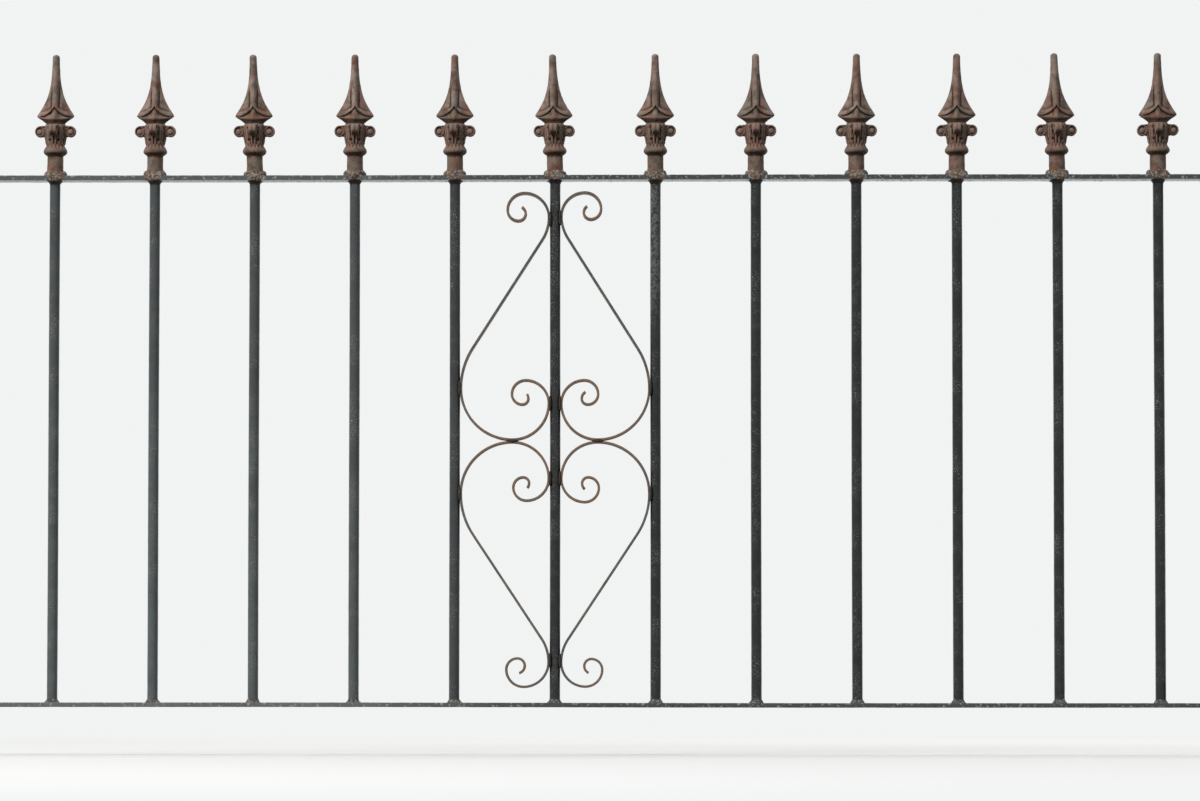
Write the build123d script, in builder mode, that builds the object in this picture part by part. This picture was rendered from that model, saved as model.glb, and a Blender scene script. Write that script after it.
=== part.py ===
from build123d import *
import math
import os

os.makedirs("parts", exist_ok=True)

# A railing panel of round bars between two flat rails, with a spear finial over each bar and a heart
# of four bent scrolls around the middle bar. Millimetres. X runs along the panel, Z is up and the
# front of the panel faces -Y. The origin is the middle of the outer face of the lower left plate.

# Bars and rails
bar_count = 13
bar_dia = 12.0
bar_spacing = 120.0
rail_depth = 25.0
rail_thick = 5.0
rail_centres = 630.0
punch_clearance = 0.25
bar_stub = 20.0
bar_end_chamfer = 1.0

# Fixing plates at the four rail ends
plate_thick = 6.0
plate_width = 40.0
plate_height = 60.0
plate_corner = 4.0
plate_hole_dia = 9.0
plate_hole_spacing = 40.0

# Scroll strip: flat bar on edge, bent in the plane of the panel
strip_thick = 3.0
strip_depth = 12.0
shoulder_radius = 50.0
flank_radius = 89.0
belly_radius = 61.5
curl_radii = (28.0, 19.5, 12.5, 8.3)
eye_radii = (27.5, 16.5, 12.5, 7.2)
hook_radius = 9.0
upper_left_shoulder = 47.2
upper_right_shoulder = 45.5
lower_left_shoulder = 51.3
lower_right_shoulder = 50.8

# Finial: heights above the top rail and half widths
socket_radius = 9.5
socket_height = 25.2
socket_spare = 1.0
collar_radius = 14.2
collar_height = 30.2
waist_radius = 10.7
waist_height = 36.6
bell_radius = 12.6
bell_height = 47.7
bell_neck_radius = 10.6
volute_radius = 6.7
volute_reach = 18.4
volute_height = 54.2
volute_width = 8.3
volute_eye_radius = 2.8
volute_eye_proud = 0.8
leaf_foot_height = 39.7
leaf_proud = 1.0
neck_radius = 11.7
neck_height = 64.2
foot_half = 15.6
foot_depth = 13.2
foot_rise = 3.2
barb_half = 22.4
barb_depth = 13.0
barb_rise = 5.2
barb_tuck = 0.3
apex_rise = 11.7
lip_overrun = 0.5
lip_step = 1.3
rib_half = 2.5
rib_proud = 0.3
spike_half = 4.15
spike_height = 131.7
tip_half = 2.6
tip_round = 2.4
finial_height = 147.2

# Welds
socket_weld_radius = 14.0
socket_weld_height = 6.5
head_weld_radius = 8.5
head_weld_height = 4.0
foot_weld_radius = 9.5
foot_weld_height = 5.5
weld_toe = 0.5
bead_radius = 2.6
bead_length = 16.0
plate_weld_leg = 4.0

# Positions that follow from the sizes above
bar_radius = bar_dia / 2
end_space = bar_spacing / 2
panel_length = (bar_count - 1) * bar_spacing + 2 * end_space
rail_length = panel_length - 2 * plate_thick
rail_top = rail_centres + rail_thick / 2
rail_under = rail_centres - rail_thick / 2
middle_bar = (bar_count + 1) // 2
middle_height = rail_centres / 2
bore_radius = bar_radius + punch_clearance
bar_length = rail_top + bar_stub - rail_thick / 2

# The spear head stands on the neck, so its heights are counted up from there
foot_height = neck_height + foot_rise
barb_height = foot_height + barb_rise
apex_height = barb_height + apex_rise
lip_drop = apex_rise + lip_overrun


def bar_x(number):
    """Distance of a bar's axis from the left end, bars numbered from 1."""
    return end_space + (number - 1) * bar_spacing


all_bar_x = [bar_x(number) for number in range(1, bar_count + 1)]
middle_x = bar_x(middle_bar)


def save(builder, name):
    """Label one finished piece and write its own file."""
    builder.part.label = name
    export_step(builder.part, f"parts/{name}.step")


# Bars: round, standing on the bottom rail and running up through the top rail into the finials
with BuildPart() as bar_shape:
    Cylinder(bar_radius, bar_length, align=(Align.CENTER, Align.CENTER, Align.MIN))
    chamfer(bar_shape.edges().sort_by(Axis.Z)[-1], bar_end_chamfer)

for number, x in enumerate(all_bar_x, start=1):
    with BuildPart() as bar:
        with Locations((x, 0, rail_thick / 2)):
            add(bar_shape.part)
    save(bar, f"bar_{number:02d}")

# Rails: flat bar lying flat, the top one punched for the bars
with BuildPart() as bottom_rail:
    with Locations((panel_length / 2, 0, 0)):
        Box(rail_length, rail_depth, rail_thick)
save(bottom_rail, "bottom_rail")

with BuildPart() as top_rail:
    with Locations((panel_length / 2, 0, rail_centres)):
        Box(rail_length, rail_depth, rail_thick)
    with Locations([(x, 0, rail_centres) for x in all_bar_x]):
        Cylinder(bore_radius, 2 * rail_thick, mode=Mode.SUBTRACT)
save(top_rail, "top_rail")

# Fixing plates: one across each rail end, with two bolt holes, one above and one below the rail
plate_places = {
    "fixing_plate_lower_left": (plate_thick / 2, 0),
    "fixing_plate_lower_right": (panel_length - plate_thick / 2, 0),
    "fixing_plate_upper_left": (plate_thick / 2, rail_centres),
    "fixing_plate_upper_right": (panel_length - plate_thick / 2, rail_centres),
}
for name, (x, z) in plate_places.items():
    with BuildPart() as plate:
        with BuildSketch(Plane.YZ.offset(x)):
            with Locations((0, z)):
                RectangleRounded(plate_width, plate_height, plate_corner)
            with Locations((0, z - plate_hole_spacing / 2), (0, z + plate_hole_spacing / 2)):
                Circle(plate_hole_dia / 2, mode=Mode.SUBTRACT)
        extrude(amount=plate_thick / 2, both=True)
    save(plate, name)

# Scrolls. The centre line starts at the end of the outer curl, rolls round to touch the middle bar
# at the shoulder, runs straight down to the belly, which touches the next bar and the scroll below,
# and comes back to the middle bar before it rolls up into the inner curl.
inner_x = bar_radius + strip_thick / 2
outer_x = bar_spacing - inner_x
turn_radius = outer_x - inner_x - belly_radius
belly_height = strip_thick / 2 + belly_radius
turn_height = strip_thick / 2 + turn_radius


def flank_lean(shoulder_height):
    """Lean of the straight flank: the inside tangent of the shoulder circle and the flank circle."""
    shoulder_centre = Vector(inner_x + shoulder_radius, shoulder_height)
    flank_centre = Vector(outer_x - flank_radius, belly_height)
    centre_line = flank_centre - shoulder_centre
    centre_angle = math.degrees(math.atan2(centre_line.Y, centre_line.X))
    cross_angle = math.degrees(math.acos((shoulder_radius + flank_radius) / centre_line.length))
    return centre_angle % 360 - cross_angle - 180


def roll(start, tangent, radii, sweeps):
    """Tangent arcs one after the other, each turning right by its own sweep."""
    for radius, sweep in zip(radii, sweeps):
        arc = JernArc(start, tangent, radius, -sweep)
        start = arc @ 1
        tangent = arc % 1
    return arc


def make_scroll(side, up, shoulder_height, curl, eye, curl_hook, eye_hook):
    """One scroll beside the middle bar: side is -1 or 1 in X, up is -1 or 1 in Z."""
    lean = flank_lean(shoulder_height)
    place = Plane(origin=(middle_x, 0, middle_height), x_dir=(side, 0, 0), z_dir=(0, -side * up, 0))
    curl_steps = [curl * radius for radius in curl_radii] + [hook_radius]
    eye_steps = [eye * radius for radius in eye_radii] + [hook_radius]
    with BuildPart() as strip:
        with BuildSketch(place):
            with BuildLine() as path:
                roll((inner_x, shoulder_height), (0, 1), curl_steps, [90] * 4 + [curl_hook])
                shoulder = JernArc((inner_x, shoulder_height), (0, -1), shoulder_radius, lean)
                flank = JernArc((outer_x, belly_height), (0, 1), flank_radius, lean)
                Line(shoulder @ 1, flank @ 1)
                roll((outer_x, belly_height), (0, -1), (belly_radius, turn_radius), (90, 90))
                roll((inner_x, turn_height), (0, 1), eye_steps, [90] * 4 + [eye_hook])
            trace(path.line, line_width=strip_thick)
        extrude(amount=strip_depth / 2, both=True)
    return strip


# each scroll was bent by hand: height of its shoulder from the middle of the panel, size of its outer
# curl and inner curl, and how far each end hooks in. The shoulder keeps its distance from the rail.
scroll_bends = {
    "scroll_upper_left": (-1, 1, middle_height - upper_left_shoulder, 1.04, 1.00, 60, 35),
    "scroll_upper_right": (1, 1, middle_height - upper_right_shoulder, 1.00, 1.00, 55, 60),
    "scroll_lower_left": (-1, -1, middle_height - lower_left_shoulder, 1.06, 0.96, 75, 40),
    "scroll_lower_right": (1, -1, middle_height - lower_right_shoulder, 1.03, 1.02, 65, 50),
}
for name, bend in scroll_bends.items():
    save(make_scroll(*bend), name)

# Finial: a cast socket with a collar, a bell with four volutes and a spear head, flattened front to back
bore_depth = bar_stub + socket_spare

# the hollow flare between barb and spike: share of the height, share of the half width still left
flare = ((0, 1), (0.07, 0.84), (0.14, 0.705), (0.31, 0.416), (0.57, 0.181), (0.83, 0.051), (1, 0))


def section(half, depth, height, fullness):
    """Section of the spear head: a diamond with its four sides pushed out or hollowed by fullness."""
    x = fullness * half
    y = fullness * depth
    corners = [(half, 0), (x, y), (0, depth), (-x, y), (-half, 0), (-x, -y), (0, -depth), (x, -y)]
    with BuildSketch(Plane.XY.offset(height), mode=Mode.PRIVATE) as outline:
        with BuildLine():
            Polyline(*corners, close=True)
        make_face()
    return outline.sketch


def blade_depth(half):
    """Half depth of the blade where its half width is given: equal at the spike, less at the barbs."""
    share = (half - spike_half) / (barb_half - spike_half)
    return spike_half + share * (barb_depth - spike_half)


# half width of the blade at each height, from the barbs up
blade_sides = []
for rise, width in flare:
    half = spike_half + width * (barb_half - spike_half)
    blade_sides.append((half, barb_height + rise * (spike_height - barb_height)))


def lip_outline():
    """Everything under the two lips that fall from the apex of a face to its two barbs."""
    reach = 1.1 * barb_half
    with BuildSketch(Plane.XZ, mode=Mode.PRIVATE) as outline:
        with BuildLine():
            lip = ThreePointArc(
                (0, apex_height),
                (0.3 * barb_half, apex_height - 0.6 * lip_drop),
                (reach, apex_height - lip_drop),
            )
            Polyline(lip @ 1, (reach, neck_height), (0, neck_height), lip @ 0)
        make_face()
        mirror(about=Plane.YZ)
    return outline.sketch


with BuildPart() as spear_shape:
    # blade from the barbs up to the tip, hollow between its ribs and its edges
    blade = [section(half, blade_depth(half), z, 0.5) for half, z in blade_sides]
    blade.append(section(spike_half, spike_half, finial_height - tip_round, 0.6))
    blade.append(section(tip_half, tip_half, finial_height, 0.65))
    loft(blade, ruled=True)
    # midribs up the front and the back
    with BuildSketch(Plane.YZ):
        with BuildLine():
            ridge = [(blade_depth(half) + rib_proud, z) for half, z in blade_sides]
            ridge_top = finial_height - tip_round
            Polyline((0, barb_height), *ridge, (spike_half, ridge_top), (0, ridge_top), close=True)
        make_face()
        mirror(about=Plane.YZ)
    extrude(amount=rib_half, both=True)
    # open under the lips, where a smaller gable stands on the foot of the head
    extrude(lip_outline(), amount=2 * barb_half, both=True, mode=Mode.SUBTRACT)
    apex_half = spike_half + 0.58 * (barb_half - spike_half)
    gable = [
        section(neck_radius, neck_radius, neck_height, math.sqrt(0.5)),
        section(foot_half, foot_depth, foot_height, 0.6),
        section(barb_half - barb_tuck, barb_depth - lip_step / 2, barb_height, 0.5),
        section(apex_half - lip_step, blade_depth(apex_half) - lip_step, apex_height, 0.5),
    ]
    loft(gable, ruled=True)

with BuildPart() as finial_shape:
    # socket, collar and bell are round
    with BuildSketch(Plane.XZ):
        with BuildLine():
            socket = Polyline((0, 0), (socket_radius, 0), (socket_radius, socket_height))
            collar = ThreePointArc(
                socket @ 1,
                (collar_radius, collar_height),
                (waist_radius, waist_height),
            )
            bell = ThreePointArc(
                collar @ 1,
                (bell_radius, bell_height),
                (bell_neck_radius, neck_height),
            )
            inside_height = (neck_height + foot_height) / 2
            Polyline(bell @ 1, (bell_neck_radius, inside_height), (0, inside_height), (0, 0))
        make_face()
    revolve(axis=Axis.Z)
    # four volutes: a leaf that climbs the bell and rolls over outwards
    for quarter in range(4):
        with BuildSketch(Plane.XZ.rotated((0, 0, 90 * quarter))):
            with Locations((volute_reach, volute_height)):
                Circle(volute_radius)
            with BuildLine():
                back = ThreePointArc(
                    (0.8 * waist_radius, leaf_foot_height),
                    (bell_radius + leaf_proud, bell_height),
                    (volute_reach - 0.9 * volute_radius, volute_height),
                )
                top = (0.8 * bell_radius, volute_height + 0.7 * volute_radius)
                Polyline(back @ 1, top, back @ 0)
            make_face()
        extrude(amount=volute_width / 2, both=True)
        with BuildSketch(Plane.XZ.rotated((0, 0, 90 * quarter))):
            with Locations((volute_reach, volute_height)):
                Circle(volute_eye_radius)
        extrude(amount=volute_width / 2 + volute_eye_proud, both=True)
    add(spear_shape.part)
    # bore for the end of the bar
    Cylinder(
        bore_radius,
        bore_depth,
        align=(Align.CENTER, Align.CENTER, Align.MIN),
        mode=Mode.SUBTRACT,
    )

for number, x in enumerate(all_bar_x, start=1):
    with BuildPart() as finial:
        with Locations((x, 0, rail_top)):
            add(finial_shape.part)
    save(finial, f"finial_{number:02d}")

# Welds round the sockets, cut off where they reach the front and rear edges of the rail
with BuildPart() as finial_welds:
    with Locations([(x, 0, rail_top) for x in all_bar_x]):
        Cone(
            socket_weld_radius,
            socket_radius,
            socket_weld_height,
            align=(Align.CENTER, Align.CENTER, Align.MIN),
        )
    with Locations((panel_length / 2, 0, rail_top)):
        Box(panel_length, rail_depth, 4 * rail_thick, mode=Mode.INTERSECT)
    with Locations([(x, 0, rail_top) for x in all_bar_x]):
        Cylinder(socket_radius, 4 * socket_weld_height, mode=Mode.SUBTRACT)
save(finial_welds, "finial_welds")

# Welds round the bars, under the top rail and on the bottom rail
with BuildPart() as bar_head_welds:
    with Locations([(x, 0, rail_under) for x in all_bar_x]):
        Cone(
            bar_radius + weld_toe,
            head_weld_radius,
            head_weld_height,
            align=(Align.CENTER, Align.CENTER, Align.MAX),
        )
        Cylinder(bar_radius, 4 * head_weld_height, mode=Mode.SUBTRACT)
save(bar_head_welds, "bar_head_welds")

with BuildPart() as bar_foot_welds:
    with Locations([(x, 0, rail_thick / 2) for x in all_bar_x]):
        Cone(
            foot_weld_radius,
            bar_radius + weld_toe,
            foot_weld_height,
            align=(Align.CENTER, Align.CENTER, Align.MIN),
        )
        Cylinder(bar_radius, 4 * foot_weld_height, mode=Mode.SUBTRACT)
save(bar_foot_welds, "bar_foot_welds")

# Beads in front of and behind every place where a strip touches a bar or the other strip. Each bead
# fills the notch between the round bar and the flat strip and laps over the edge of the strip.
bead_y = strip_depth / 2
bead_cut = 4 * bead_radius
touch_x = outer_x - belly_radius
bar_touches = []
strip_touches = []
strip_slabs = []
for side in (-1, 1):
    near_x = middle_x + side * bar_radius
    far_x = middle_x + side * (bar_spacing - bar_radius)
    strip_slabs.append((near_x + side * bead_cut / 2, 0, middle_height))
    strip_slabs.append((far_x - side * bead_cut / 2, 0, middle_height))
    for y in (-bead_y, bead_y):
        strip_touches.append((middle_x + side * touch_x, y, middle_height))
        for up in (-1, 1):
            bar_touches.append((near_x, y, middle_height + up * turn_height))
            bar_touches.append((far_x, y, middle_height + up * belly_height))
for side, up, shoulder_height, *bends in scroll_bends.values():
    for y in (-bead_y, bead_y):
        bar_touches.append((middle_x + side * bar_radius, y, middle_height + up * shoulder_height))

with BuildPart() as scroll_welds:
    with Locations(bar_touches):
        Cylinder(bead_radius, bead_length)
    with Locations(strip_touches):
        Cylinder(bead_radius, bead_length, rotation=(0, 90, 0))
    # clear of the bars, and of the flat strips beside them
    with Locations([(bar_x(middle_bar + step), 0, middle_height) for step in (-1, 0, 1)]):
        Cylinder(bar_radius, rail_centres, mode=Mode.SUBTRACT)
    with Locations(strip_slabs):
        Box(bead_cut, strip_depth, rail_centres, mode=Mode.SUBTRACT)
    with Locations([(middle_x + side * touch_x, 0, middle_height) for side in (-1, 1)]):
        Box(2 * bead_length, strip_depth, bead_cut, mode=Mode.SUBTRACT)
save(scroll_welds, "scroll_welds")

# Fillet welds over and under each rail end, against its plate
with BuildPart() as plate_welds:
    with BuildSketch(Plane.XZ):
        for x, away in ((plate_thick, 1), (panel_length - plate_thick, -1)):
            for rail_z in (0, rail_centres):
                for up in (-1, 1):
                    z = rail_z + up * rail_thick / 2
                    with BuildLine():
                        Polyline(
                            (x, z),
                            (x + away * plate_weld_leg, z),
                            (x, z + up * plate_weld_leg),
                            close=True,
                        )
                    make_face()
    extrude(amount=rail_depth / 2, both=True)
save(plate_welds, "plate_welds")
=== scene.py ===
# %% [markdown]
# # A railing panel with cast spear heads
# The object is a length of garden railing: round bars between two flat rails, all painted black,
# a cast iron spear head gone brown over every bar, and a heart of four bent strips round the middle
# bar. The solids of the frame have its real sizes but the smooth look of a drawing, so this lesson
# makes each piece again as it has weathered, in the same place, and then paints it. We begin with
# the frame.

# %% Load the frame and count its nodes
import math

import bpy
import numpy as np
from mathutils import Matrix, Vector


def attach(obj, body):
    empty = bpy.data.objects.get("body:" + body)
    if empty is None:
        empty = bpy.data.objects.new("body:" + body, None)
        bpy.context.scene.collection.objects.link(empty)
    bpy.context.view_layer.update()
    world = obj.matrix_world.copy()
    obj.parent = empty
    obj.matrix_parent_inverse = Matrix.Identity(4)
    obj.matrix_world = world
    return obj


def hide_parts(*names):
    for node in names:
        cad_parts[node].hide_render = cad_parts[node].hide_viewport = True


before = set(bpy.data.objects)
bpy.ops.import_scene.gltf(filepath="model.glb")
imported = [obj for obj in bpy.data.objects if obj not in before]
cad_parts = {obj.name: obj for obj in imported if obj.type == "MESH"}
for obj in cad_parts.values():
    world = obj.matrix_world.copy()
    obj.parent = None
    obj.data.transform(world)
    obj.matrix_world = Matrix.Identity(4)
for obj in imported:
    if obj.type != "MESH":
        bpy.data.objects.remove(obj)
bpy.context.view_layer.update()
print("nodes:", len(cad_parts))

# %% [markdown]
# ## The sizes everything hangs on
# All shapes below are worked out in millimetres, as a smith would measure them, and turned into
# metres only when a mesh is made. X runs along the panel, Z is up, and the front faces -Y. The bars
# stand 120 mm apart and the origin is at the left end, level with the bottom rail.

# %% Sizes of bars, rails and spear heads
SPACING, BAR_RADIUS, BAR_COUNT = 120.0, 6.0, 13
RAIL_DEPTH, RAIL_THICK, RAIL_UP = 25.0, 5.0, 630.0
PANEL, PLATE_THICK = 1560.0, 6.0
HEAD_FOOT = RAIL_UP + RAIL_THICK / 2
BAR_FOOT, BAR_TOP = RAIL_THICK / 2, HEAD_FOOT + 20.0
MIDDLE_X, MIDDLE_Z = PANEL / 2, RAIL_UP / 2
bar_x = SPACING * (np.arange(BAR_COUNT) + 0.5)
print("bars at", bar_x.min(), "to", bar_x.max(), "mm, head foot at", HEAD_FOOT, "mm")

# %% [markdown]
# ## Tubes from rings
# Nearly every piece here is a tube: rings of points, one after another, joined by four-sided faces.
# A bar is rings up a line, a strip is rings along a curve, a weld is rings round a circle. One
# helper joins the rings and closes the ends, so the shapes themselves stay short formulas. It also
# checks which way the faces look, by the sign of the volume, and turns them outwards if need be.
# A second helper hangs a finished mesh on the panel, named after the node it stands in for.

# %% Points, angles and turns


def xyz(x, y, z):
    """Points from three coordinates, each a number or an array, spread to a common shape."""
    return np.stack(np.broadcast_arrays(x, y, z), axis=-1)


def full_turn(count):
    """Angles of so many points evenly round a circle: 2 pi k / count."""
    return 2 * np.pi * np.arange(count) / count


def swivel(x, y, angle):
    """Turns points about the Z axis: x cos a - y sin a, and x sin a + y cos a."""
    c, s = math.cos(angle), math.sin(angle)
    return c * x - s * y, s * x + c * y


print("a quarter turn takes X to", [round(c) for c in swivel(1, 0, math.pi / 2)])

# %% Join rings of points into a closed shell


def shell(rings, closed_loop=False, crevice=None, crown=None):
    """Quads between ring i and ring i + 1; a fan at each end, or the last ring joined to the first.

    The volume is the sum over triangles of a . (b x c) / 6, which is positive for outward faces.
    crevice and crown are marks from 0 to 1 at each point: how deep in a hollow, how far up a ridge.
    The materials turn the crevice mark into rust and painted shade.
    """
    n, m = rings.shape[:2]
    grid = np.arange(n * m).reshape(n, m)
    beside = np.roll(grid, -1, axis=1)
    if closed_loop:
        above, above_beside = np.roll(grid, -1, axis=0), np.roll(beside, -1, axis=0)
        quads = np.stack([grid, beside, above_beside, above], axis=-1).reshape(-1, 4)
        points, tris = rings.reshape(-1, 3), np.zeros((0, 3), int)
    else:
        quads = np.stack([grid[:-1], beside[:-1], beside[1:], grid[1:]], axis=-1).reshape(-1, 4)
        points = np.vstack([rings.reshape(-1, 3), rings[0].mean(axis=0), rings[-1].mean(axis=0)])
        first, last = np.full(m, n * m), np.full(m, n * m + 1)
        tris = np.vstack([
            np.stack([beside[0], grid[0], first], axis=-1),
            np.stack([grid[-1], beside[-1], last], axis=-1),
        ])
    all_tris = np.vstack([quads[:, [0, 1, 2]], quads[:, [0, 2, 3]], tris])
    a, b, c = (points[all_tris[:, k]] for k in range(3))
    if (a * np.cross(b, c)).sum() < 0:
        quads, tris = quads[:, ::-1], tris[:, ::-1]
    made = {"points": points, "quads": quads, "tris": tris}
    for label, given in (("crevice", crevice), ("crown", crown)):
        made[label] = np.zeros(len(points))
        if given is not None:
            made[label][: n * m] = given.reshape(-1)
    return made


square = shell(xyz(np.cos(full_turn(4)), np.sin(full_turn(4)), np.array([[0], [1]])))
print("a square tube has", len(square["quads"]), "quads and", len(square["tris"]), "triangles")

# %% Hang meshes on the panel, each in place of one node
# the three kinds of surface: how their pieces are called, and their material slot
KINDS = {
    "paint": ("painted", "black_paint"),
    "casting": ("cast", "rusty_casting"),
    "weld": ("lumpy", "weld_metal"),
}
pieces = {kind: [] for kind in KINDS}


def into_scene(name, data):
    """A new object for a mesh, curve, lamp or camera, linked into the scene."""
    obj = bpy.data.objects.new(name, data)
    bpy.context.scene.collection.objects.link(obj)
    return obj


def add_piece(kind, node, mesh):
    """A mesh as an object that rides on the panel in place of a node."""
    prefix, slot = KINDS[kind]
    piece = into_scene(f"{prefix}_{node}", mesh)
    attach(piece, "root")
    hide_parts(node)
    pieces[kind].append(piece)


def make_piece(kind, node, shells):
    """One mesh from several shells, turned from millimetres into metres, added as a piece."""
    faces, start = [], 0
    for part in shells:
        faces += (part["quads"] + start).tolist() + (part["tris"] + start).tolist()
        start += len(part["points"])
    points = np.vstack([part["points"] for part in shells])
    mesh = bpy.data.meshes.new(node)
    mesh.from_pydata((points * 0.001).tolist(), [], faces)
    for label in ("crevice", "crown"):
        values = np.concatenate([part[label] for part in shells])
        mesh.attributes.new(label, "FLOAT", "POINT").data.foreach_set("value", values)
    mesh.polygons.foreach_set("use_smooth", np.ones(len(mesh.polygons), bool))
    mesh.update()
    add_piece(kind, node, mesh)


print("kinds of surface:", list(KINDS))


# %% [markdown]
# ## Unevenness
# Cast, forged and hand-painted iron is never quite smooth. Adding a little wave to each point does
# what years and a rough mould did. The wave is a sum of sines in seeded directions, so it is the
# same on every run and depends only on where a point is.

# %% A smooth unevenness of points


def wobble(points, size, seed, octaves=3):
    """Mean of seven sines along seeded directions, about `size` mm long; each octave is twice as
    fine and half as strong. The result lies between about -1 and 1."""
    rng = np.random.default_rng(seed)
    total = np.zeros(points.shape[:-1])
    for octave in range(octaves):
        waves = rng.normal(size=(7, 3)) * 3.2 * 2**octave / size
        phase = rng.uniform(0, 2 * np.pi, 7)
        total += np.sin(points @ waves.T + phase).mean(axis=-1) * 2.2 / 2**octave
    return total / 1.6


def roughen(rings, amount, size, seed):
    """Moves each point along its line from the ring's middle by amount times the wobble there."""
    middle = rings.mean(axis=1, keepdims=True)
    out = rings - middle
    length = np.linalg.norm(out, axis=-1, keepdims=True)
    step = (amount * wobble(rings, size, seed))[..., None]
    return middle + out * (1 + step / np.maximum(length, 1e-6))


def smooth(value, low, high):
    """0 below low, 1 above high, and 3t^2 - 2t^3 between them."""
    t = np.clip((value - low) / (high - low), 0, 1)
    return t * t * (3 - 2 * t)


def hump(value, middle, width):
    """A bell-shaped bump: exp of minus the squared distance over the squared width."""
    return np.exp(-(((value - middle) / width) ** 2))


def relief(rings, reach=3):
    """How far the mean of the points around lies outside each point, in millimetres, measured along
    the outward normal: above 0 in a hollow, below 0 on a ridge."""
    across = sum(np.roll(rings, k, axis=1) for k in range(-reach, reach + 1)) / (2 * reach + 1)
    padded = np.pad(across, ((reach, reach), (0, 0), (0, 0)), mode="edge")
    mean = sum(padded[k: k + len(rings)] for k in range(2 * reach + 1)) / (2 * reach + 1)
    beside = np.roll(rings, -1, axis=1) - np.roll(rings, 1, axis=1)
    normal = np.cross(beside, np.gradient(rings, axis=0))
    normal /= np.maximum(np.linalg.norm(normal, axis=-1, keepdims=True), 1e-9)
    outward = ((rings - rings.mean(axis=1, keepdims=True)) * normal).sum(axis=-1)
    return ((mean - rings) * normal).sum(axis=-1) * np.sign(np.median(outward))


print("wobble of the origin:", round(float(wobble(np.zeros((1, 3)), 10.0, 1)[0]), 3))

# %% [markdown]
# ## Round bars
# Each bar is a rolled round, thick with old paint. We could keep the solid's cylinder, but its
# edge would be a perfect line. Many coats have added a quarter of a millimetre, and rings every 4 mm
# let them swell and thin a little, which is enough to break up a reflection. On two bars the upper
# part is rubbed pale, which we note as the crown mark for the paint to use.

# %% Thirteen bars
COAT, BAR_RINGS = 0.25, 164
RUBBED_FROM = {7: 590.0, 8: 430.0}


def round_bar(x, seed):
    """Circles of the bar's radius up Z, shrunk at the very top, with a wave on radius and line."""
    turn = full_turn(32)
    z = np.linspace(BAR_FOOT, BAR_TOP, BAR_RINGS)[:, None]
    radius = BAR_RADIUS + COAT - 1.0 * smooth(z, BAR_TOP - 1.5, BAR_TOP)
    bend = 0.25 * np.sin(z / 210 + seed) * np.sin(np.pi * np.clip(z / RAIL_UP, 0, 1))
    rings = roughen(xyz(x + bend + radius * np.cos(turn), radius * np.sin(turn), z), 0.07, 9.0, seed)
    rings[..., 2] = np.clip(rings[..., 2], BAR_FOOT, BAR_TOP)
    return rings


for number, x in enumerate(bar_x, start=1):
    rings = round_bar(x, number)
    height = rings[..., 2]
    rubbed = 0 * height
    if number in RUBBED_FROM:
        rubbed = smooth(height, RUBBED_FROM[number], RUBBED_FROM[number] + 90) * (height < RAIL_UP)
    make_piece("paint", f"bar_{number:02d}", [shell(rings, crown=rubbed)])
print("bars:", len(pieces["paint"]), "vertices each:", len(pieces["paint"][0].data.vertices))

# %% [markdown]
# ## Flat rails
# The rails are rolled flats with softly rounded corners. A ring is the outline of that section, and
# the rings run along X. Rolled flat keeps its thickness well, so only a slow wave of a fifth of a
# millimetre is added, and finer dents at the paint.

# %% Two rails
RAIL_RINGS = 388


def flat_section(width, height, corner, steps=4):
    """Outline of a rectangle with quarter circles at its corners, anticlockwise, as (n, 2)."""
    part = np.linspace(0, np.pi / 2, steps)
    corners = []
    for sx, sy, start in ((1, 1, 0), (-1, 1, np.pi / 2), (-1, -1, np.pi), (1, -1, 3 * np.pi / 2)):
        across = sx * (width / 2 - corner) + corner * np.cos(part + start)
        up = sy * (height / 2 - corner) + corner * np.sin(part + start)
        corners.append(np.stack([across, up], axis=-1))
    return np.vstack(corners)


def flat_rail(z, seed):
    """The section at every 4 mm of X, lifted by a slow sine and dented by the wobble."""
    x = np.linspace(PLATE_THICK, PANEL - PLATE_THICK, RAIL_RINGS)[:, None]
    section = flat_section(RAIL_DEPTH, RAIL_THICK + 0.4, 0.6)
    lift = 0.15 * np.sin(x / 170 + seed)
    rings = xyz(x, section[:, 0], z + lift + section[:, 1])
    rings[..., 2] += 0.12 * wobble(rings, 14.0, seed)
    rings[..., 1] += 0.12 * wobble(rings, 22.0, seed + 5)
    return rings


for name, z in (("top_rail", RAIL_UP), ("bottom_rail", 0.0)):
    make_piece("paint", name, [shell(flat_rail(z, len(name)))])
print("rails done, pieces so far:", len(pieces["paint"]))

# %% [markdown]
# ## Bent scrolls
# A scroll is a flat strip set on edge and bent round a jig. Its middle line is a chain of arcs that
# meet without a corner: an outer curl, a shoulder that touches the middle bar, a straight flank, a
# belly that touches the next bar, and an inner curl. We carry a rounded section along that line. The
# four are mirror images, apart from how far a hand bent each end.

# %% The middle line of a scroll
STRIP_THICK, STRIP_DEPTH = 3.0, 12.0
NEAR = BAR_RADIUS + STRIP_THICK / 2
FAR = SPACING - NEAR
SHOULDER_RADIUS, FLANK_RADIUS, BELLY_RADIUS = 50.0, 89.0, 61.5
TURN_RADIUS = FAR - NEAR - BELLY_RADIUS
CURL, EYE, HOOK = (28.0, 19.5, 12.5, 8.3), (27.5, 16.5, 12.5, 7.2), 9.0
STRAIGHT_POINTS = 88


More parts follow.
